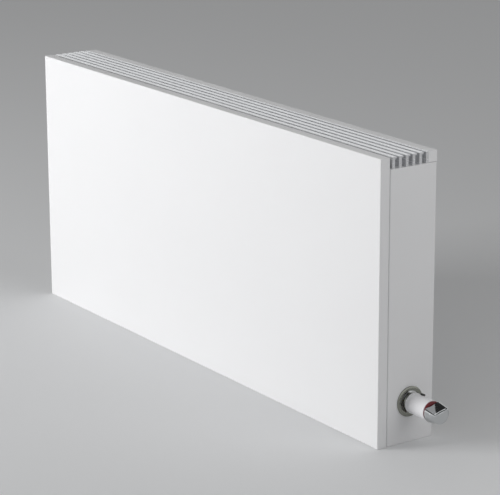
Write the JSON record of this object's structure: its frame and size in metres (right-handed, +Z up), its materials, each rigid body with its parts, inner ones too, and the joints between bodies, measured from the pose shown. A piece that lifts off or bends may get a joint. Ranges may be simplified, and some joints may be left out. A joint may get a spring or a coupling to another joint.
{
  "type": "wall convector",
  "caption": "Flat white wall convector: folded steel casing with a slotted top grille over a finned heat exchanger, and a thermostatic valve head at the side.",
  "frame": {"origin": "on the wall plane, at the middle of the casing's bottom edge", "axes": "+X along the casing towards the thermostatic head, +Y towards the wall, +Z up"},
  "size_m": [1.185, 0.118, 0.5],
  "materials": {
    "painted_steel": "fine satin powder coat, white",
    "galvanised_steel": "galvanised sheet",
    "zinc_screws": "zinc plated",
    "grille_aluminium": "satin natural anodised",
    "fin_aluminium": "mill finish",
    "copper": "drawn copper tube, reddish",
    "header_brass": "cast, machined ports",
    "nickel_brass": "nickel-plated brass",
    "black_rubber": "matt",
    "spring_steel": "drawn wire",
    "white_plastic": "smooth moulded",
    "black_plastic": "moulded",
    "capsule_aluminium": "drawn",
    "red_plastic": "translucent dark red",
    "chrome": "mirror"
  },
  "bodies": {
    "root": {"front_panel": "painted_steel", "side_panel_right": "painted_steel", "side_panel_left": "painted_steel", "rear_top_rail": "painted_steel", "rear_cap_right": "painted_steel", "rear_cap_left": "painted_steel", "rear_bottom_rail": "painted_steel", "side_hanger_right": "galvanised_steel", "side_hanger_left": "galvanised_steel", "panel_stiffener_right": "galvanised_steel", "panel_stiffener_left": "galvanised_steel", "spreader_right": "galvanised_steel", "spreader_left": "galvanised_steel", "wall_bracket_right": "galvanised_steel", "wall_bracket_left": "galvanised_steel", "casing_screws": "zinc_screws", "fin_pack": "fin_aluminium", "tube_front_lower": "copper", "tube_rear_lower": "copper", "tube_front_upper": "copper", "tube_rear_upper": "copper", "header_right": "header_brass", "header_left": "header_brass", "header_plug": "nickel_brass", "air_vent_body": "nickel_brass", "union_tail_right": "nickel_brass", "union_tail_left": "nickel_brass", "union_nut_right": "nickel_brass", "union_nut_left": "nickel_brass", "valve_body": "nickel_brass", "valve_bonnet": "nickel_brass", "return_valve_body": "nickel_brass", "bracket_pads": "black_rubber", "union_seals": "black_rubber", "valve_spring": "spring_steel", "head_sleeve": "white_plastic", "lockshield_cap": "white_plastic", "setting_pointer": "black_plastic", "head_nut": "chrome", "rosette": "chrome"},
    "grip": {"grip_cap": "chrome", "red_ring": "red_plastic"},
    "sensor_train": {"sensor_capsule": "capsule_aluminium", "push_rod": "spring_steel", "valve_spindle": "nickel_brass", "valve_plug": "black_rubber"},
    "grille": {"grille_tie_rods": "zinc_screws", "grille_spacers": "grille_aluminium", "grille_bar_1": "grille_aluminium", "grille_bar_2": "grille_aluminium", "grille_bar_3": "grille_aluminium", "grille_bar_4": "grille_aluminium", "grille_bar_5": "grille_aluminium", "grille_bar_6": "grille_aluminium"},
    "bleed_screw": {"bleed_screw": "nickel_brass"},
    "lockshield_spindle": {"lockshield_spindle": "nickel_brass"},
    "return_cone": {"return_cone": "black_rubber"}
  },
  "joints": [
    {"name": "grip_turn", "type": "hinge", "parent": "root", "child": "grip", "pos_m": [0.618, -0.05, 0.0725], "axis": [1, 0, 0], "range_deg": [-174, 116]},
    {"name": "sensor_travel", "type": "slide", "parent": "root", "child": "sensor_train", "axis": [1, 0, 0], "range_m": [-0.00243, 0.00163]},
    {"name": "grille_lift", "type": "slide", "parent": "root", "child": "grille", "axis": [0, 0, 1], "range_m": [0, 0.06]},
    {"name": "bleed_screw_turn", "type": "hinge", "parent": "root", "child": "bleed_screw", "pos_m": [-0.469, -0.05, 0.15], "axis": [0, 0, 1], "range_deg": [0, 360]},
    {"name": "lockshield_turn", "type": "hinge", "parent": "root", "child": "lockshield_spindle", "pos_m": [-0.53, -0.05, 0.0725], "axis": [1, 0, 0], "range_deg": [0, 721]},
    {"name": "return_cone_travel", "type": "slide", "parent": "root", "child": "return_cone", "axis": [1, 0, 0], "range_m": [0, 0.004]}
  ],
  "couplings": [
    {"joint": "sensor_travel", "follows": "grip_turn", "m_per_rad": 0.000796},
    {"joint": "lockshield_turn", "follows": "return_cone_travel", "rad_per_m": 3141.6}
  ]
}
